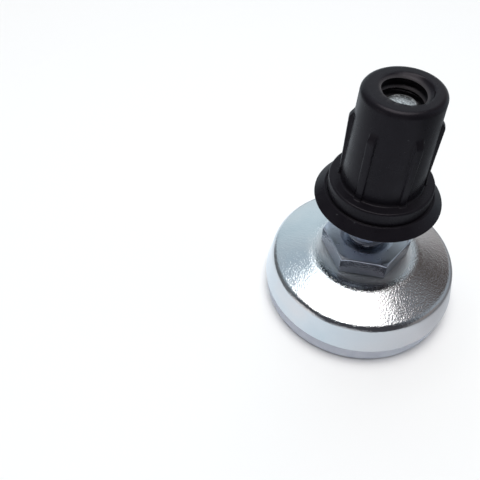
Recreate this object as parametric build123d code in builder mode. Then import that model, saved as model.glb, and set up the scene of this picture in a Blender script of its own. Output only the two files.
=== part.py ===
from build123d import *
import os

# Furniture leveling foot: a threaded stud stands in a round zinc-plated base and carries a plastic
# tube insert. Turning the stud by its hex collar raises or lowers the insert and the leg around it.
# Millimetres, +Z up. The origin is the centre of the glide pad's underside, where it meets the floor.

# ---- Thread, 1/4-20 UNC, right-handed ----
thread_pitch = 25.4 / 20
crest_radius = 3.16
root_radius = 2.44
crest_width = 0.22
flank_slope = 0.577
root_bite = 0.1
thread_clearance = 0.07
ridge_start = 9.315
ridge_overrun = 1.5

# ---- Glide pad ----
pad_radius = 13.85
pad_edge_round = 0.7
pad_ledge = 2.65
pad_gap = 0.12
pocket_radius = 5.6
pocket_floor = 5.4

# ---- Base cup, pressed from sheet ----
sheet = 0.9
skirt_foot_radius = 14.15
skirt_foot = 2.9
shoulder_radius = 13.25
shoulder_height = 7.15
shoulder_round = 1.3
plateau_radius = 7.9
plateau_height = 9.0
plateau_round = 4.0
neck_hole_radius = 2.85

# ---- Leveling stud ----
collar_gap = 0.12
collar_flats = 10.9
collar_height = 2.85
collar_corner_round = 0.25
chamfer_inner_radius = 5.75
chamfer_outer_radius = 7.0
chamfer_slope = 0.577
countersink_radius = 3.9
countersink_depth = 0.8
neck_radius = 2.8
rivet_gap = 0.1
rivet_radius = 4.7
rivet_height = 1.5
rivet_round = 0.9
stud_length = 22.2
tip_length = 1.0
tip_chamfer = 0.7
lead_in = 0.65

# ---- Tube insert ----
insert_foot = 19.5
insert_top = 36.1
flange_radius = 8.34
flange_lip = 0.25
rim_radius = 7.12
rim_height = 20.97
pilot_radius = 6.7
pilot_top = 22.87
pilot_round = 0.25
body_foot_radius = 5.22
body_top_radius = 4.82
body_round = 0.7
bore_overrun = 1.0
counterbore_radius = 3.7
counterbore_depth = 0.9
rib_count = 6
rib_width = 1.06
rib_inner_radius = 4.2
rib_radius = 5.48
rib_shoulder = 31.6
rib_run_out = 32.75
run_out_margin = 0.05

# ---- Worked out from the above ----
collar_foot = plateau_height + collar_gap
collar_top = collar_foot + collar_height
stud_top = collar_top + stud_length
thread_foot = collar_top - countersink_depth
thread_top = stud_top - tip_length


def threaded_rod(clearance, foot, top):
    """A rod with one helical ridge, cut flat at both ends. Clearance makes it larger all round."""
    core = root_radius + clearance
    ridge_depth = crest_radius - root_radius
    crest_half = crest_width / 2
    root_half = crest_half + flank_slope * (ridge_depth + root_bite)
    start_plane = Plane(origin=(core, 0, ridge_start), x_dir=(1, 0, 0), z_dir=(0, 1, 0))
    with BuildPart() as ridge:
        with BuildLine() as helix:
            Helix(
                pitch=thread_pitch,
                height=top + ridge_overrun - ridge_start,
                radius=core,
                center=(0, 0, ridge_start),
            )
        with BuildSketch(start_plane):
            with BuildLine():
                Polyline(
                    (-root_bite, -root_half),
                    (-root_bite, root_half),
                    (ridge_depth, crest_half),
                    (ridge_depth, -crest_half),
                    close=True,
                )
            make_face()
        sweep(path=helix.wires()[0], is_frenet=True)
        with BuildSketch(Plane.XY.offset(foot)):
            Circle(core + 2 * ridge_depth)
        extrude(amount=top - foot, mode=Mode.INTERSECT)
    with BuildPart() as rod:
        with BuildSketch(Plane.XY.offset(foot)):
            Circle(core)
        extrude(amount=top - foot)
        add(ridge.part)
    return rod.part


# Base cup: one sheet of even thickness, drawn into a short flared skirt, a rounded shoulder, a
# shallow cone and a flat plateau with the hole that the stud's neck turns in.
with BuildPart() as base_cup:
    with BuildSketch(Plane.XZ):
        with BuildLine():
            FilletPolyline(
                (skirt_foot_radius, skirt_foot),
                (shoulder_radius, shoulder_height),
                (plateau_radius, plateau_height),
                (0, plateau_height),
                radius=[shoulder_round, plateau_round],
            )
            offset(amount=sheet, side=Side.LEFT)
        make_face()
    revolve(axis=Axis.Z)
    with BuildSketch(Plane.XY.offset(plateau_height)):
        Circle(neck_hole_radius)
    extrude(amount=-2 * sheet, mode=Mode.SUBTRACT)


# Glide pad: a thick moulded disc. Its flank shows below the skirt, its plug fills the cup, and a
# round pocket leaves room for the stud's rivet head.
plug_inset = sheet + pad_gap
with BuildPart() as glide_pad:
    with BuildSketch(Plane.XY):
        Circle(pad_radius)
    extrude(amount=pad_ledge)
    fillet(glide_pad.edges().group_by(Axis.Z)[0], pad_edge_round)
    with BuildSketch(Plane.XZ):
        with BuildLine():
            FilletPolyline(
                (skirt_foot_radius - plug_inset, pad_ledge),
                (shoulder_radius - plug_inset, shoulder_height - plug_inset),
                (plateau_radius - pad_gap, plateau_height - plug_inset),
                (pocket_radius, plateau_height - plug_inset),
                radius=[shoulder_round, plateau_round],
            )
            Polyline(
                (pocket_radius, plateau_height - plug_inset),
                (pocket_radius, pocket_floor),
                (0, pocket_floor),
                (0, pad_ledge),
                (skirt_foot_radius - plug_inset, pad_ledge),
            )
        make_face()
    revolve(axis=Axis.Z)


stud_thread = threaded_rod(0, thread_foot, thread_top)
bore_thread = threaded_rod(thread_clearance, insert_foot - bore_overrun, insert_top + bore_overrun)


# Leveling stud, cold-headed in one piece: rivet head inside the cup, neck through its hole, hex
# collar above the plateau, and the thread, whose root sinks into a countersink in the collar.
with BuildPart() as leveling_stud:
    with BuildSketch(Plane.XY.offset(collar_foot)):
        RegularPolygon(radius=collar_flats / 2, side_count=6, major_radius=False)
    extrude(amount=collar_height)
    fillet(leveling_stud.edges().filter_by(Axis.Z), collar_corner_round)
    with BuildSketch(Plane.XZ):
        with BuildLine():
            Polyline(
                (chamfer_inner_radius, collar_top),
                (
                    chamfer_outer_radius,
                    collar_top - chamfer_slope * (chamfer_outer_radius - chamfer_inner_radius),
                ),
                (chamfer_outer_radius, collar_top),
                close=True,
            )
            Polyline(
                (0, collar_top),
                (countersink_radius, collar_top),
                (root_radius, thread_foot),
                (0, thread_foot),
                close=True,
            )
        make_face()
    revolve(axis=Axis.Z, mode=Mode.SUBTRACT)

    rivet_top = plateau_height - sheet - rivet_gap
    with BuildSketch(Plane.XY.offset(rivet_top)):
        Circle(neck_radius)
    extrude(until=Until.NEXT)
    with BuildSketch(Plane.XY.offset(rivet_top)):
        Circle(rivet_radius)
    extrude(amount=-rivet_height)
    fillet(leveling_stud.edges().group_by(Axis.Z)[0], rivet_round)

    add(stud_thread)
    with BuildSketch(Plane.XZ):
        with BuildLine():
            Polyline(
                (root_radius, thread_top),
                (root_radius + 2 * lead_in, thread_top - 2 * lead_in),
                (root_radius + 2 * lead_in, thread_top),
                close=True,
            )
        make_face()
    revolve(axis=Axis.Z, mode=Mode.SUBTRACT)
    with BuildSketch(Plane.XY.offset(thread_top)):
        Circle(root_radius)
    extrude(amount=tip_length)
    chamfer(leveling_stud.edges().group_by(Axis.Z)[-1], tip_chamfer)


# Tube insert: a moulded bush. The flange's rim carries the tube's end, the pilot fills its mouth,
# and the slimmer body above it has six ribs. The whole bore is threaded for the stud.
with BuildPart() as tube_insert:
    with BuildSketch(Plane.XZ):
        with BuildLine():
            Polyline(
                (0, insert_foot),
                (flange_radius - flange_lip, insert_foot),
                (flange_radius, insert_foot + flange_lip),
                (rim_radius, rim_height),
                (pilot_radius, rim_height),
                (pilot_radius, pilot_top),
                (body_foot_radius, pilot_top),
                (body_top_radius, insert_top),
                (0, insert_top),
                close=True,
            )
        make_face()
    revolve(axis=Axis.Z)
    rings = tube_insert.edges().filter_by(GeomType.CIRCLE)
    fillet(rings.group_by(Axis.Z)[-1], body_round)
    fillet(rings.filter_by_position(Axis.Z, pilot_top, pilot_top).sort_by(SortBy.RADIUS)[-1], pilot_round)

    rib_depth = rib_radius - rib_inner_radius
    with BuildSketch(Plane.XY.offset(pilot_top)):
        with PolarLocations(rib_inner_radius + rib_depth / 2, rib_count):
            Rectangle(rib_depth, rib_width)
    extrude(amount=rib_run_out - pilot_top)
    with BuildSketch(Plane.XZ):
        with BuildLine():
            Polyline(
                (body_foot_radius - run_out_margin, rib_run_out),
                (rib_radius, rib_shoulder),
                (pilot_radius, rib_shoulder),
                (pilot_radius, rib_run_out),
                close=True,
            )
        make_face()
    revolve(axis=Axis.Z, mode=Mode.SUBTRACT)

    add(bore_thread, mode=Mode.SUBTRACT)
    with BuildSketch(Plane.XY.offset(insert_foot)):
        Circle(counterbore_radius)
    extrude(amount=counterbore_depth, mode=Mode.SUBTRACT)


glide_pad.part.label = "glide_pad"
base_cup.part.label = "base_cup"
leveling_stud.part.label = "leveling_stud"
tube_insert.part.label = "tube_insert"

os.makedirs("parts", exist_ok=True)
export_step(glide_pad.part, "parts/glide_pad.step")
export_step(base_cup.part, "parts/base_cup.step")
export_step(leveling_stud.part, "parts/leveling_stud.step")
export_step(tube_insert.part, "parts/tube_insert.step")
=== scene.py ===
import math

import bmesh
import bpy
import numpy as np
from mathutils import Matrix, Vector


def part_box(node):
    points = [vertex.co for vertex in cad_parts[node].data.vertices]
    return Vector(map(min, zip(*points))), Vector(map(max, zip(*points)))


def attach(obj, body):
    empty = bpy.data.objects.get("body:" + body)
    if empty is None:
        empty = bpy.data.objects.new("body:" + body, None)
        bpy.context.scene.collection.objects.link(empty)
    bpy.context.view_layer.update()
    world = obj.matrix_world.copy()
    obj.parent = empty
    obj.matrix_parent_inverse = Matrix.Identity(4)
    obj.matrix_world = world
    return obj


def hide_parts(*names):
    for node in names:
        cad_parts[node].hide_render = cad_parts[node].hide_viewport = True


# A furniture leveling foot: a plated cup on a plastic pad, a threaded stud that turns in the cup, and
# a plastic tube insert that climbs the stud's thread. One closed mesh stands for each CAD node.

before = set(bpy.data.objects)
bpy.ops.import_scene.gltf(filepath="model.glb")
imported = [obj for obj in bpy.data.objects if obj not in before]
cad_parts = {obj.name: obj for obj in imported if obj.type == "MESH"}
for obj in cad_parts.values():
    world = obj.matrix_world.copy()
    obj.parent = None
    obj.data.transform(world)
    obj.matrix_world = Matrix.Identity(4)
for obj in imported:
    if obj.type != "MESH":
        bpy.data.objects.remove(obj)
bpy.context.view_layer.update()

# Lengths below are millimetres, as on the part's drawing. Meshes and lights are in metres.
MM = 0.001
TURN = 2 * math.pi
QUARTER = TURN / 4
SECTOR = TURN / 6

pad_low, pad_high = (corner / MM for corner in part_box("glide_pad"))
cup_low, cup_high = (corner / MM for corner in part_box("base_cup"))
stud_low, stud_high = (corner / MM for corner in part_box("leveling_stud"))
insert_low, insert_high = (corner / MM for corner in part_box("tube_insert"))

# ---- Mesh ----
HAIR = 0.004  # how far a skin stays inside the CAD model's box
FLAT_MARGIN = 0.12  # from an arc's end to the next point, so that shading stays flat beside the arc
MARGIN_SHARE = 0.3  # the most that this margin may be of the arc's radius
ROW_MARGIN = 0.08  # the same margin beside the collar's edges
WELD = 0.001  # points nearer than this are joined
SLIVER = 0.0001  # edges shorter than this are taken out
SHARP_ANGLE = 38  # degrees
WIDE_COLUMNS = (13, 16, 19.5, 23, 26.5, 30)  # degrees from a sector's middle, where little happens

# ---- Thread, 1/4-20, right-handed ----
PITCH = 25.4 / 20
ROOT = 2.44
CREST = 3.16
CREST_HALF = 0.1
FLANK = 0.577
CLEARANCE = 0.07
THREAD_START = 9.315  # height of the ridge's middle at angle 0
CREST_BLUR = 0.05  # how far the ridge's corners are softened, each way
BLUR_SAMPLES = 5
# Heights of the mesh rows within one turn, from the middle of the ridge.
HALF_LEVELS = (0.09, 0.15, 0.23, 0.34, 0.45, 0.51, 0.57)
LEVELS = (-PITCH / 2, *(-level for level in reversed(HALF_LEVELS)), 0, *HALF_LEVELS)

# ---- Base ----
SHEET = 0.9
SKIRT_FOOT = 2.9
SKIRT_RIM_ROUND = 0.16
SKIRT_INNER_ROUND = 0.3
SHOULDER_RADIUS = 13.25
SHOULDER_HEIGHT = 7.15
SHOULDER_ROUND = 1.3
PLATEAU_RADIUS = 7.9
PLATEAU_ROUND = 4.0
NECK_HOLE = 2.85
HOLE_ROUND = 0.12
HOLE_LOWER_ROUND = 0.05
PAD_GAP = 0.12
PAD_LEDGE = 2.65
PAD_EDGE_ROUND = 0.7
LEDGE_ROUND = 0.25
LEDGE_CORNER_ROUND = 0.1
PLUG_SHOULDER_ROUND = 0.8
PLUG_TOP_ROUND = 2.0
POCKET_RADIUS = 5.6
POCKET_FLOOR = 5.4
POCKET_ROUND = 0.15

# ---- Stud ----
COLLAR_FOOT = cup_high.z + 0.12
COLLAR_TOP = COLLAR_FOOT + 2.85
COLLAR_APOTHEM = stud_high.y
CORNER_ROUND = 0.25
CHAMFER_RADIUS = 5.75
CHAMFER_SLOPE = 0.577
UPPER_EDGE = 0.2
LOWER_EDGE = 0.07
UNDERSIDE_RING = 4.2  # mesh rings on the collar's flat faces
TOP_RINGS = (5.2, 4.6)
SINK_RADIUS = 3.9
SINK_DEPTH = 0.8
SINK_ROUND = 0.15
NECK = 2.8
NECK_ROUND = 0.05
RIVET_RADIUS = 4.7
RIVET_TOP = stud_low.z + 1.5
RIVET_ROUND = 0.9
RIVET_EDGE_ROUND = 0.1
TIP_LENGTH = 1.0
TIP_CHAMFER = 0.75
TIP_ROUND = 0.12
FIRST_RIDGE = 0.1  # share of the full height that the ridge has where it starts
RIDGE_START = 0.3  # length over which it rises from the root to that share
RIDGE_GROWTH = 2.2  # length over which it grows to the full height
# Mesh columns in degrees from each corner of the collar, close together round the corner.
CORNER_COLUMNS = (0, 0.3, 0.6, 0.9, 1.16, 1.6, 2.4, 3.8, 5.6, 7.6, 10, *WIDE_COLUMNS)

# ---- Insert ----
FLANGE_LIP = 0.25
LIP_ROUND = 0.12
RIM_RADIUS = 7.12
RIM_RISE = 1.47
RIM_ROUND = 0.1
GROOVE_RADIUS = 6.95
GROOVE_DEPTH = 0.2
GROOVE_LIP_ROUND = 0.05
GROOVE_OUTER_ROUND = 0.04
GROOVE_INNER_ROUND = 0.06
PILOT_RADIUS = 6.7
PILOT_RISE = 3.37
PILOT_ROUND = 0.25
BODY_FOOT_RADIUS = 5.22
BODY_TOP_RADIUS = 4.82
BODY_ROUND = 0.7
BODY_FILLET = 0.3
FILLET_RING = 6.1  # mesh rings on the pilot's ledge and on the top face
TOP_FACE_RINGS = (4.02, 3.55)
COUNTERBORE_RADIUS = 3.7
COUNTERBORE_DEPTH = 0.9
COUNTERBORE_ROUND = 0.15
COUNTERBORE_SLOPE = 1.2
RIB_HALF = 0.53
RIB_DRAFT = 0.1  # how far each rib wall leans, each way from the middle of the wall
RIB_RADIUS = 5.48
RIB_SHOULDER = insert_high.z - 4.5
RIB_EDGE = 0.24
RIB_RUN_OUT = insert_high.z - 3.35
MOUTH_ROUND = 0.16
LAND_SWELL = 0.1  # how far the bore's groove reaches past the stud's ridge, each way
LAND_BLUR = 0.17  # how far the groove's corners are softened, each way
# Mesh columns in degrees from the middle of each rib, close together over its edges.
RIB_COLUMNS = (0, 1.5, 2.6, 3.2, 3.8, 4.4, 4.9, 5.2, 5.5, 5.8, 6.1, 6.5, 7.2, 8.5, 10.5, *WIDE_COLUMNS)


# ---- Mesh helpers ----
def smooth(share):
    """0 below 0, 1 above 1, and an even ease between."""
    share = np.clip(share, 0, 1)
    return share * share * (3 - 2 * share)


def quarter_round(steps):
    """Angles from 0 to a quarter turn, for the rows of a rounded edge."""
    return np.linspace(0, QUARTER, steps)


def sector_columns(offsets):
    """Column angles for six equal sectors, with the given degrees each side of every sector's middle."""
    degrees = []
    for middle in range(0, 360, 60):
        degrees += [middle - offset for offset in reversed(offsets[1:])]
        degrees += [middle + offset for offset in offsets[:-1]]
    return np.radians(sorted(angle % 360 for angle in degrees))


def from_middle(columns):
    """The angle of each column from the middle of its sector."""
    return np.abs((columns + SECTOR / 2) % SECTOR - SECTOR / 2)


def rounded(outline, steps=6):
    """A line through corners given as (radius, height, rounding), with an arc at each rounded corner."""
    corners = [Vector(corner[:2]) for corner in outline]
    line = []
    for i, corner in enumerate(corners):
        rounding = outline[i][2]
        if rounding == 0:
            line.append(corner)
            continue
        before = (corners[i - 1] - corner).normalized()
        after = (corners[(i + 1) % len(corners)] - corner).normalized()
        half = before.angle(after) / 2
        reach = rounding / math.tan(half)
        centre = corner + (before + after).normalized() * (rounding / math.sin(half))
        first = corner + before * reach
        last = corner + after * reach
        first_spoke = (first - centre).normalized()
        last_spoke = (last - centre).normalized()
        sweep = first_spoke.angle(last_spoke)
        margin = min(FLAT_MARGIN, MARGIN_SHARE * rounding)
        line.append(first + before * margin)
        for step in range(steps + 1):
            share = step / steps
            spoke = first_spoke * math.sin((1 - share) * sweep) + last_spoke * math.sin(share * sweep)
            line.append(centre + spoke.normalized() * rounding)
        line.append(last + after * margin)
    return [tuple(point) for point in line]


def inset(line, distance):
    """The same open line moved sideways, to the left of its direction, with mitred corners."""
    points = [Vector(point) for point in line]
    runs = [(after - before).normalized() for before, after in zip(points, points[1:])]
    moved = []
    for i, point in enumerate(points):
        normals = [Vector((-run.y, run.x)) for run in runs[max(i - 1, 0) : i + 1]]
        mean = sum(normals, Vector((0, 0))).normalized()
        moved.append(tuple(point + mean * (distance / mean.dot(normals[0]))))
    return moved


class Skin:
    """A closed surface gathered from rings that share their column angles, welded where they meet."""

    def __init__(self, columns):
        self.columns = columns
        self.vertices = []
        self.faces = []

    def points(self, radius, height):
        """One ring. Radius and height are each a number or one number for every column."""
        radius = np.broadcast_to(np.asarray(radius, float), self.columns.shape)
        height = np.broadcast_to(np.asarray(height, float), self.columns.shape)
        return np.stack([radius * np.cos(self.columns), radius * np.sin(self.columns), height], axis=1)

    def grid(self, rows, seam=0):
        """Adds rows of points. The last column joins the first one that is seam rows further on."""
        base = len(self.vertices)
        count = len(self.columns)
        for ring in rows:
            self.vertices.extend(ring.tolist())
        top_row = len(rows) - 1
        for row in range(top_row):
            start = base + row * count
            for corner in range(start, start + count - 1):
                self.faces.append((corner, corner + 1, corner + 1 + count, corner + count))
            low = base + min(row + seam, top_row) * count
            high = base + min(row + 1 + seam, top_row) * count
            corner = start + count - 1
            self.faces.append((corner, low, high, corner + count))

    def lathe(self, line):
        """Turns a line of (radius, height) points about the Z axis."""
        self.grid([self.points(radius, height) for radius, height in line])

    def thread(self, foot, top, radius_at):
        """Rows that climb with the thread, so that its edges run along the mesh, flattened at both ends."""
        climb = PITCH * self.columns / TURN
        first = math.floor((foot - THREAD_START) / PITCH) - 2
        last = math.ceil((top - THREAD_START) / PITCH) + 1
        rows = []
        for turn in range(first, last + 1):
            for level in LEVELS:
                height = np.clip(THREAD_START + climb + PITCH * turn + level, foot, top)
                rows.append(self.points(radius_at(height), height))
        self.grid(rows, seam=len(LEVELS))

    def object(self, name, material, body, node):
        """Makes the closed mesh, which rides on a body and stands for a CAD node."""
        mesh = bpy.data.meshes.new(name)
        mesh.from_pydata([Vector(vertex) * MM for vertex in self.vertices], [], self.faces)
        work = bmesh.new()
        work.from_mesh(mesh)
        bmesh.ops.remove_doubles(work, verts=work.verts, dist=WELD * MM)
        bmesh.ops.dissolve_degenerate(work, edges=work.edges, dist=SLIVER * MM)
        bmesh.ops.recalc_face_normals(work, faces=work.faces)
        work.to_mesh(mesh)
        work.free()
        mesh.shade_smooth()
        mesh.set_sharp_from_angle(angle=math.radians(SHARP_ANGLE))
        mesh.materials.append(material)
        made = bpy.data.objects.new(name, mesh)
        bpy.context.scene.collection.objects.link(made)
        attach(made, body)
        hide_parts(node)


def ridge_share(columns, height, swell=0, blur=CREST_BLUR):
    """How much of the ridge stands at each point: 1 on the crest, 0 in the root, rounded between."""
    away = (height - THREAD_START - PITCH * columns / TURN + PITCH / 2) % PITCH - PITCH / 2
    root_half = CREST_HALF + FLANK * (CREST - ROOT)
    total = 0
    for shift in np.linspace(-blur, blur, BLUR_SAMPLES):
        total = total + np.clip((root_half + swell - np.abs(away + shift)) / (root_half - CREST_HALF), 0, 1)
    return total / BLUR_SAMPLES


# ---- Node helpers ----
class Nodes:
    """A node tree, and the calls that add nodes to it and link them."""

    def __init__(self, tree):
        self.nodes = tree.nodes
        self.links = tree.links

    def feed(self, socket, value):
        """Gives a socket a number, a colour, or another node's output."""
        if isinstance(value, tuple):
            socket.default_value = (*value, 1)
        elif isinstance(value, (int, float)):
            socket.default_value = value
        else:
            self.links.new(value, socket)

    def output(self, kind, name):
        """One output of a new node that needs no input."""
        return self.nodes.new(kind).outputs[name]

    def spread(self, value, low, high, to_low, to_high, ease="LINEAR"):
        """Carries low to to_low and high to to_high, and holds the ends."""
        node = self.nodes.new("ShaderNodeMapRange")
        node.interpolation_type = ease
        for key, number in (("From Min", low), ("From Max", high), ("To Min", to_low), ("To Max", to_high)):
            node.inputs[key].default_value = number
        self.links.new(value, node.inputs["Value"])
        return node.outputs["Result"]

    def blend(self, factor, none, full):
        """One colour where factor is 0, the other where it is 1."""
        node = self.nodes.new("ShaderNodeMix")
        node.data_type = "RGBA"
        inputs = {socket.identifier: socket for socket in node.inputs}
        outputs = {socket.identifier: socket for socket in node.outputs}
        self.feed(inputs["Factor_Float"], factor)
        self.feed(inputs["A_Color"], none)
        self.feed(inputs["B_Color"], full)
        return outputs["Result_Color"]


class Shader(Nodes):
    """One material, with object coordinates in metres."""

    def __init__(self, name):
        self.material = bpy.data.materials.new(name)
        self.material.use_nodes = True
        super().__init__(self.material.node_tree)
        self.surface = self.nodes["Principled BSDF"]
        self.place = self.output("ShaderNodeTexCoord", "Object")

    def set(self, **values):
        """Sets the shader's own sockets. A name has _ for each space."""
        for key, value in values.items():
            self.surface.inputs[key.replace("_", " ")].default_value = value

    def wire(self, **sockets):
        """Links outputs to the shader's sockets, named in the same way."""
        for key, value in sockets.items():
            self.links.new(value, self.surface.inputs[key.replace("_", " ")])

    def stretched(self, scale):
        """Object coordinates, multiplied along each axis."""
        node = self.nodes.new("ShaderNodeMapping")
        node.inputs["Scale"].default_value = scale
        self.links.new(self.place, node.inputs["Vector"])
        return node.outputs["Vector"]

    def noise(self, scale, detail=3.0, roughness=0.5, place=None):
        """Cloudy values round 0.5. Scale is the number of clouds in a metre."""
        node = self.nodes.new("ShaderNodeTexNoise")
        node.inputs["Scale"].default_value = scale
        node.inputs["Detail"].default_value = detail
        node.inputs["Roughness"].default_value = roughness
        self.links.new(place or self.place, node.inputs["Vector"])
        return node.outputs["Fac"]

    def math(self, operation, *values):
        node = self.nodes.new("ShaderNodeMath")
        node.operation = operation
        for socket, value in zip(node.inputs, values):
            self.feed(socket, value)
        return node.outputs[0]

    def tint(self, factor, stops):
        """A colour ramp through (position, colour) stops."""
        node = self.nodes.new("ShaderNodeValToRGB")
        elements = node.color_ramp.elements
        while len(elements) < len(stops):
            elements.new(0.5)
        for element, (position, colour) in zip(elements, stops):
            element.position = position
            element.color = (*colour, 1)
        self.links.new(factor, node.inputs["Fac"])
        return node.outputs["Color"]

    def axis(self, name, vector=None):
        """One coordinate of a vector, or of the place."""
        node = self.nodes.new("ShaderNodeSeparateXYZ")
        self.links.new(vector or self.place, node.inputs["Vector"])
        return node.outputs[name]

    def radius(self):
        """Distance from the Z axis."""
        node = self.nodes.new("ShaderNodeVectorMath")
        node.operation = "LENGTH"
        self.links.new(self.stretched((1, 1, 0)), node.inputs[0])
        return node.outputs["Value"]

    def bump(self, height, strength, depth, previous=None):
        """A normal tipped by a height between 0 and 1, depth millimetres deep, on top of a previous one."""
        node = self.nodes.new("ShaderNodeBump")
        node.inputs["Strength"].default_value = strength
        node.inputs["Distance"].default_value = depth * MM
        self.links.new(height, node.inputs["Height"])
        if previous:
            self.links.new(previous, node.inputs["Normal"])
        return node.outputs["Normal"]


# ---- Materials ----
def zinc_sheet():
    """Bright zinc plating on drawn sheet: fine grain, faint drawing streaks, a bluish tint that drifts.

    Painted shade makes the right side a little darker and warmer; the plateau is duller, and the skirt
    smoother.
    """
    look = Shader("zinc_sheet")
    look.set(Metallic=1.0)
    cloud = look.noise(420, detail=2)
    streak = look.noise(1, detail=2, place=look.stretched((5200, 5200, 260)))
    plating = [(0.3, (0.59, 0.64, 0.67)), (0.52, (0.65, 0.68, 0.70)), (0.72, (0.70, 0.69, 0.69))]
    # painted shade: the plating turns darker and warmer towards the right side (+X)
    painted_right_shade = look.spread(look.axis("X"), -4 * MM, 13 * MM, 0.0, 1.0)
    colour = look.blend(painted_right_shade, look.tint(look.noise(140), plating), (0.47, 0.44, 0.44))
    worn = look.math("ADD", look.math("MULTIPLY", cloud, 0.5), look.math("MULTIPLY", streak, 0.5))
    dull_plateau = look.spread(look.radius(), 6.2 * MM, 7.4 * MM, 0.42, 0.0)
    roughness = look.math("ADD", look.spread(worn, 0.3, 0.7, 0.07, 0.15), dull_plateau)
    above_skirt = look.spread(look.axis("Z"), 6.4 * MM, 7.4 * MM, 0.15, 1.0)
    grain = look.math("MULTIPLY", look.noise(4300, detail=2, roughness=0.6), above_skirt)
    ripples = look.bump(look.noise(900, detail=2), 0.08, 0.12)
    grained = look.bump(grain, 1.0, 0.046, ripples)
    streaked = look.bump(streak, 0.10, 0.02, grained)
    look.wire(Base_Color=colour, Roughness=roughness, Normal=streaked)
    return look.material


def zinc_stud():
    """Zinc plating on a cold-headed stud, duller than the sheet.

    It has fine rings on the thread, a scuffed end, and smoother plating on the collar's sides, which
    painted shade makes darker.
    """
    look = Shader("zinc_stud")
    look.set(Metallic=1.0)
    height = look.axis("Z")
    colour = look.tint(look.noise(200, detail=2), [(0.35, (0.49, 0.52, 0.60)), (0.65, (0.58, 0.61, 0.66))])
    scuffs = look.noise(2300, roughness=0.6)
    scuffed = look.tint(scuffs, [(0.38, (0.30, 0.30, 0.31)), (0.62, (0.95, 0.95, 0.95))])
    on_tip = look.spread(height, (stud_high.z - 1.3) * MM, (stud_high.z - 0.9) * MM, 0.0, 1.0)
    colour = look.blend(on_tip, colour, scuffed)
    on_thread = look.spread(height, COLLAR_TOP * MM, (COLLAR_TOP + 0.3) * MM, 0.0, 1.0)
    level = look.math("ABSOLUTE", look.axis("Z", look.output("ShaderNodeTexCoord", "Normal")))
    not_side = look.math("MAXIMUM", level, on_thread)
    # painted shade: the collar's upright sides are darker than its top and than the thread
    colour = look.blend(look.spread(not_side, 0.2, 0.7, 0.0, 1.0), (0.34, 0.355, 0.41), colour)
    mottled = look.spread(look.noise(900), 0.3, 0.7, 0.26, 0.38)
    roughness = look.math("MULTIPLY", mottled, look.spread(not_side, 0.2, 0.7, 0.4, 1.0))
    rings = look.math("MULTIPLY", look.noise(1, place=look.stretched((900, 900, 9000))), on_thread)
    pitted = look.bump(look.noise(3600, roughness=0.6), 0.8, 0.04)
    look.wire(Base_Color=colour, Roughness=roughness, Normal=look.bump(rings, 0.25, 0.03, pitted))
    return look.material


def black_plastic():
    """Satin black moulding with a fine grain and a few pale specks; the bore's thread crests are lighter
    where the stud runs, rubbing wear with a painted highlight.
    """
    look = Shader("black_plastic")
    look.set(IOR=1.46, Specular_IOR_Level=0.12, Specular_Tint=(1.0, 0.92, 1.0, 1))
    drift = look.noise(300, detail=4)
    colour = look.tint(drift, [(0.35, (0.0088, 0.0078, 0.0102)), (0.7, (0.0122, 0.0108, 0.0138))])
    specks = look.spread(look.noise(2600, detail=2), 0.74, 0.80, 0.0, 0.6)
    colour = look.blend(specks, colour, (0.10, 0.10, 0.105))
    # rubbing wear and painted highlight: the bore's thread crests are lighter
    crest_wear_and_highlight = look.spread(look.radius(), 2.62 * MM, 2.95 * MM, 1.0, 0.0)
    colour = look.blend(crest_wear_and_highlight, colour, (0.060, 0.056, 0.060))
    roughness = look.spread(look.noise(700, detail=4, roughness=0.6), 0.3, 0.7, 0.24, 0.36)
    waves = look.bump(look.noise(1500, detail=2), 0.10, 0.06)
    grained = look.bump(look.noise(7000, detail=2, roughness=0.6), 0.18, 0.02, waves)
    look.wire(Base_Color=colour, Roughness=roughness, Normal=grained)
    return look.material


def pad_plastic():
    """Milky natural polyethylene, matt, with a faint cloudiness."""
    look = Shader("pad_plastic")
    look.set(IOR=1.5, Subsurface_Weight=0.6, Subsurface_Scale=1.0)
    look.set(Subsurface_Radius=(2.2 * MM, 2.2 * MM, 2.4 * MM))
    cloud = look.noise(500)
    colour = look.tint(cloud, [(0.3, (0.55, 0.55, 0.61)), (0.7, (0.65, 0.65, 0.70))])
    roughness = look.spread(cloud, 0.3, 0.7, 0.38, 0.5)
    grained = look.bump(look.noise(2600, roughness=0.6), 0.15, 0.04)
    look.wire(Base_Color=colour, Roughness=roughness, Normal=grained)
    return look.material


# ---- Base cup ----
round_columns = np.arange(256) / 256 * TURN
cup_line = [
    (cup_high.x - HAIR, SKIRT_FOOT),
    (SHOULDER_RADIUS, SHOULDER_HEIGHT),
    (PLATEAU_RADIUS, cup_high.z),
    (NECK_HOLE, cup_high.z),
]
outer_rounds = (SKIRT_RIM_ROUND, SHOULDER_ROUND, PLATEAU_ROUND, HOLE_ROUND)
inner_rounds = (SKIRT_INNER_ROUND, SHOULDER_ROUND - SHEET, PLATEAU_ROUND - SHEET, HOLE_LOWER_ROUND)
outer_face = [(*point, rounding) for point, rounding in zip(cup_line, outer_rounds)]
inner_face = [(*point, rounding) for point, rounding in zip(inset(cup_line, SHEET), inner_rounds)]
cup_profile = rounded(outer_face + inner_face[::-1], steps=10)
# The rim goes no lower than the CAD cup's.
cup_profile = [(radius, max(height, cup_low.z)) for radius, height in cup_profile]
cup = Skin(round_columns)
cup.lathe(cup_profile + cup_profile[:1])
cup.object("cup_shell", zinc_sheet(), "base", "base_cup")

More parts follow.
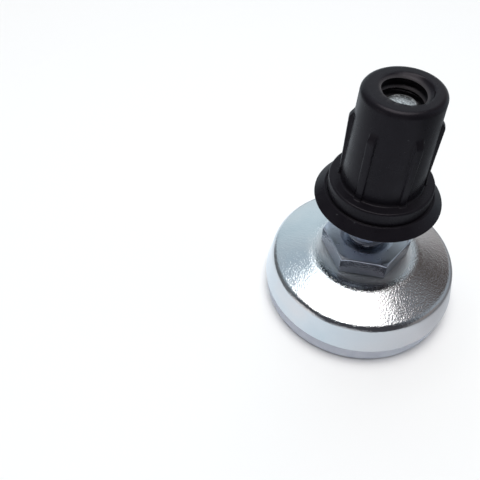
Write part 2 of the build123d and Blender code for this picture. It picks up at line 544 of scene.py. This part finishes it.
# ---- Glide pad ----
plug = inset(cup_line, SHEET + PAD_GAP)
pad_outline = [
    (0, pad_low.z, 0),
    (pad_high.x - HAIR, pad_low.z, PAD_EDGE_ROUND),
    (pad_high.x - HAIR, PAD_LEDGE, LEDGE_ROUND),
    (plug[0][0], PAD_LEDGE, LEDGE_CORNER_ROUND),
    (*plug[1], PLUG_SHOULDER_ROUND),
    (PLATEAU_RADIUS - PAD_GAP, pad_high.z, PLUG_TOP_ROUND),
    (POCKET_RADIUS, pad_high.z, POCKET_ROUND),
    (POCKET_RADIUS, POCKET_FLOOR, POCKET_ROUND),
    (0, POCKET_FLOOR, 0),
]
pad = Skin(round_columns)
pad.lathe(rounded(pad_outline, steps=8))
pad.object("pad_disc", pad_plastic(), "base", "glide_pad")

# ---- Leveling stud ----
stud = Skin(sector_columns(CORNER_COLUMNS))
# The hexagon's radius in each column: flats, and an arc at each corner.
from_corner = from_middle(stud.columns)
arc_centre = COLLAR_APOTHEM / math.cos(SECTOR / 2) - CORNER_ROUND / math.sin(SECTOR)
tangent = math.atan2(CORNER_ROUND / 2, arc_centre + CORNER_ROUND * math.cos(SECTOR / 2))
on_arc = np.sqrt(np.maximum(CORNER_ROUND**2 - (arc_centre * np.sin(from_corner)) ** 2, 0))
hexagon = np.where(
    from_corner < tangent,
    arc_centre * np.cos(from_corner) + on_arc,
    COLLAR_APOTHEM / np.cos(SECTOR / 2 - from_corner),
)
sink_foot = COLLAR_TOP - SINK_DEPTH
thread_top = stud_high.z - TIP_LENGTH


def collar_surface(radius):
    """Height of the collar's top: flat, then falling away over the chamfered corners."""
    return COLLAR_TOP - CHAMFER_SLOPE * np.maximum(radius - CHAMFER_RADIUS, 0)


def stud_radius(height):
    """The thread grows out of the countersink, and its top is cut to a cone for a lead-in."""
    share = ridge_share(stud.columns, height)
    share = share * (FIRST_RIDGE + (1 - FIRST_RIDGE) * smooth((height - sink_foot) / RIDGE_GROWTH))
    share = share * smooth((height - sink_foot) / RIDGE_START)
    radius = ROOT + (CREST - ROOT) * share
    return np.minimum(radius, ROOT + np.maximum(thread_top - height, 0))


rivet_outline = [
    (0, stud_low.z, 0),
    (RIVET_RADIUS, stud_low.z, RIVET_ROUND),
    (RIVET_RADIUS, RIVET_TOP, RIVET_EDGE_ROUND),
    (NECK, RIVET_TOP, NECK_ROUND),
    (NECK, COLLAR_FOOT, 0),
]
stud.lathe(rounded(rivet_outline))
collar_rows = [stud.points(NECK, COLLAR_FOOT), stud.points(UNDERSIDE_RING, COLLAR_FOOT)]
for angle in quarter_round(5):
    reach = hexagon - LOWER_EDGE * (1 - math.sin(angle))
    collar_rows.append(stud.points(reach, COLLAR_FOOT + LOWER_EDGE * (1 - math.cos(angle))))
collar_rows.append(stud.points(hexagon, COLLAR_FOOT + LOWER_EDGE + ROW_MARGIN))
collar_rows.append(stud.points(hexagon, collar_surface(hexagon) - UPPER_EDGE - ROW_MARGIN))
for angle in quarter_round(6):
    reach = hexagon - UPPER_EDGE * (1 - math.cos(angle))
    collar_rows.append(stud.points(reach, collar_surface(reach) - UPPER_EDGE * (1 - math.sin(angle))))
reach = hexagon - UPPER_EDGE - ROW_MARGIN
collar_rows.append(stud.points(reach, collar_surface(reach)))
for limit in (CHAMFER_RADIUS + FLAT_MARGIN, CHAMFER_RADIUS - ROW_MARGIN, *TOP_RINGS):
    reach = np.minimum(reach, limit)
    collar_rows.append(stud.points(reach, collar_surface(reach)))
stud.grid(collar_rows)
sink_outline = [(TOP_RINGS[-1], COLLAR_TOP, 0), (SINK_RADIUS, COLLAR_TOP, SINK_ROUND), (ROOT, sink_foot, 0)]
stud.lathe(rounded(sink_outline, steps=5))
stud.thread(sink_foot, thread_top, stud_radius)
tip_outline = [
    (ROOT, thread_top, 0),
    (ROOT, stud_high.z - TIP_CHAMFER, TIP_ROUND),
    (ROOT - TIP_CHAMFER, stud_high.z - HAIR, TIP_ROUND),
    (0, stud_high.z - HAIR, 0),
]
stud.lathe(rounded(tip_outline, steps=5))
stud.object("threaded_stud", zinc_stud(), "stud", "leveling_stud")

# ---- Tube insert ----
insert = Skin(sector_columns(RIB_COLUMNS))
from_rib = from_middle(insert.columns)
foot = insert_low.z
bore_foot = foot + COUNTERBORE_DEPTH
rim_top = foot + RIM_RISE
pilot_top = foot + PILOT_RISE
head = insert_high.z - HAIR


def body_radius(height):
    """The tapering body with its six ribs, whose walls have draft, edges are round and tops run out."""
    share = (height - pilot_top) / (insert_high.z - pilot_top)
    plain = BODY_FOOT_RADIUS + (BODY_TOP_RADIUS - BODY_FOOT_RADIUS) * share
    across = plain * from_rib
    wall = np.clip((RIB_HALF + RIB_DRAFT - across) / (2 * RIB_DRAFT), 0, 1)
    edge = np.clip((across - RIB_HALF + RIB_EDGE) / RIB_EDGE, 0, 1)
    crown = RIB_RADIUS - plain - RIB_EDGE * (1 - np.sqrt(1 - edge**2))
    end = smooth((RIB_RUN_OUT - height) / (RIB_RUN_OUT - RIB_SHOULDER))
    return plain + np.maximum(crown, 0) * wall * end


def bore_radius(height):
    """The threaded bore, opening into the counterbore below and into a rounded mouth above."""
    share = ridge_share(insert.columns, height, LAND_SWELL, LAND_BLUR)
    radius = ROOT + CLEARANCE + (CREST - ROOT) * share
    radius = np.maximum(radius, COUNTERBORE_RADIUS - COUNTERBORE_SLOPE * (height - bore_foot))
    into_round = np.clip((height - head + MOUTH_ROUND) / MOUTH_ROUND, 0, 1)
    return radius + MOUTH_ROUND * (1 - np.sqrt(1 - into_round**2))


flange_outline = [
    (COUNTERBORE_RADIUS, bore_foot, 0),
    (COUNTERBORE_RADIUS, foot, COUNTERBORE_ROUND),
    (insert_high.x - HAIR - FLANGE_LIP, foot, LIP_ROUND),
    (insert_high.x - HAIR, foot + FLANGE_LIP, LIP_ROUND),
    (RIM_RADIUS, rim_top, RIM_ROUND),
    (GROOVE_RADIUS, rim_top, GROOVE_LIP_ROUND),
    (GROOVE_RADIUS, rim_top - GROOVE_DEPTH, GROOVE_OUTER_ROUND),
    (PILOT_RADIUS, rim_top - GROOVE_DEPTH, GROOVE_INNER_ROUND),
    (PILOT_RADIUS, pilot_top, PILOT_ROUND),
    (FILLET_RING, pilot_top, 0),
]
insert.lathe(rounded(flange_outline, steps=5))
body_rows = [insert.points(FILLET_RING, pilot_top)]
for angle in quarter_round(6):
    height = pilot_top + BODY_FILLET * (1 - math.cos(angle))
    body_rows.append(insert.points(body_radius(height) + BODY_FILLET * (1 - math.sin(angle)), height))
# Rows up the body, close together where the ribs run out.
wall_heights = [
    *np.linspace(pilot_top + BODY_FILLET + 0.1, RIB_SHOULDER - 0.15, 14),
    *np.linspace(RIB_SHOULDER - 0.1, RIB_RUN_OUT + 0.1, 10),
    *np.linspace(RIB_RUN_OUT + 0.3, head - BODY_ROUND - 0.1, 5),
]
for height in wall_heights:
    body_rows.append(insert.points(body_radius(height), height))
for angle in quarter_round(9):
    height = head - BODY_ROUND * (1 - math.sin(angle))
    body_rows.append(insert.points(body_radius(height) - BODY_ROUND * (1 - math.cos(angle)), height))
for radius in (*TOP_FACE_RINGS, bore_radius(head)):
    body_rows.append(insert.points(radius, head))
insert.grid(body_rows)
insert.thread(bore_foot, head, bore_radius)
insert.object("insert_bush", black_plastic(), "insert", "tube_insert")

# ---- Floor: pale to the camera; painted shade dims it towards the back right in the foot's reflections ----
FLOOR_HALF = 3000
FLOOR_DROP = 0.02
half = FLOOR_HALF * MM
floor_corners = [(-half, -half, 0), (half, -half, 0), (half, half, 0), (-half, half, 0)]
floor_mesh = bpy.data.meshes.new("floor")
floor_mesh.from_pydata(floor_corners, [], [(0, 1, 2, 3)])
floor = bpy.data.objects.new("floor", floor_mesh)
floor.location.z = -FLOOR_DROP * MM
bpy.context.scene.collection.objects.link(floor)
floor_shader = Shader("floor")
floor_shader.set(Roughness=0.9, Specular_IOR_Level=0.1)
across = floor_shader.math("MULTIPLY", floor_shader.axis("X"), 0.75)
along = floor_shader.math("MULTIPLY", floor_shader.axis("Y"), 0.65)
# painted shade: in reflections the floor darkens towards the back right
painted_floor_light = floor_shader.spread(floor_shader.math("ADD", across, along), 3 * MM, 22 * MM, 1.0, 0.3)
mirrored = floor_shader.blend(painted_floor_light, (0.02, 0.02, 0.02), (0.90, 0.95, 1.0))
seen_floor = floor_shader.output("ShaderNodeLightPath", "Is Camera Ray")
floor_shader.wire(
    Base_Color=floor_shader.blend(seen_floor, mirrored, (0.97, 0.96, 0.95)),
    Alpha=floor_shader.spread(floor_shader.radius(), 90 * MM, 240 * MM, 1.0, 0.0),
)
floor_mesh.materials.append(floor_shader.material)

# ---- Surroundings: a white backdrop to the camera, a pale room with dim patches to reflections ----
world = bpy.data.worlds.new("room")
bpy.context.scene.world = world
world.use_nodes = True
room = Nodes(world.node_tree)
direction = room.output("ShaderNodeTexCoord", "Generated")


def lobe(towards, inner, outer):
    """1 within the inner angle of a direction, 0 beyond the outer one, in degrees."""
    node = room.nodes.new("ShaderNodeVectorMath")
    node.operation = "DOT_PRODUCT"
    node.inputs[1].default_value = Vector(towards).normalized()
    room.links.new(direction, node.inputs[0])
    edge = math.cos(math.radians(outer))
    core = math.cos(math.radians(inner))
    return room.spread(node.outputs["Value"], edge, core, 0.0, 1.0, ease="SMOOTHSTEP")


# A patch is a direction, the angles from it where the patch is full and where it ends, and its colour.
ROOM_COLOUR = (0.50, 0.60, 0.68)
PATCHES = [
    ((0, 1, 0.15), 20, 60, (0.78, 0.90, 0.96)),  # pale wall behind the foot
    ((0.42, 0.9, 0.28), 8, 26, (0.72, 0.73, 0.74)),  # greyer part of it, to the right
    ((0, -1, 0.55), 50, 82, (0.07, 0.07, 0.08)),  # dark room behind the viewer
    ((0, -1, 0), 10, 24, (0.60, 0.60, 0.62)),  # low card in front
    ((0.45, 0.30, 0.84), 4, 20, (0.30, 0.28, 0.28)),  # dim overhead, to the right
    ((0.58, 0.56, 0.60), 10, 24, (0.13, 0.115, 0.11)),  # dark, high at the back right
    ((-0.85, 0.1, 0.16), 24, 38, (0.16, 0.17, 0.18)),  # dark left side
    ((-0.76, -0.64, 0.08), 10, 24, (0.9, 0.9, 0.92)),  # bright card at the front left
    ((0.98, -0.17, 0.05), 8, 26, (0.4, 0.38, 0.38)),  # grey card on the right
]
sky = ROOM_COLOUR
for towards, inner, outer, colour in PATCHES:
    sky = room.blend(lobe(towards, inner, outer), sky, colour)
seen_sky = room.output("ShaderNodeLightPath", "Is Camera Ray")
room.feed(room.nodes["Background"].inputs["Color"], room.blend(seen_sky, sky, (1.0, 1.0, 1.0)))

# ---- Softbox overhead ----
light = bpy.data.lights.new("overhead", "AREA")
light.shape = "DISK"
light.size = 0.34
light.energy = 1.72
light.color = (1, 0.99, 0.98)
softbox = bpy.data.objects.new("overhead", light)
softbox.location = (-0.02, 0.01, 0.45)
softbox.rotation_euler = (-softbox.location).to_track_quat("-Z", "Y").to_euler()
bpy.context.scene.collection.objects.link(softbox)

# ---- Camera ----
camera_data = bpy.data.cameras.new("camera")
camera_data.lens = 40.73
camera_data.sensor_width = 36
camera_data.clip_start = 0.001
camera = bpy.data.objects.new("camera", camera_data)
camera.location = (-0.006515, -0.053418, 0.070892)
camera.rotation_euler = [math.radians(angle) for angle in (40.036, 0.314, 12.411)]
bpy.context.scene.collection.objects.link(camera)
bpy.context.scene.camera = camera
bpy.context.scene.view_settings.view_transform = "Standard"
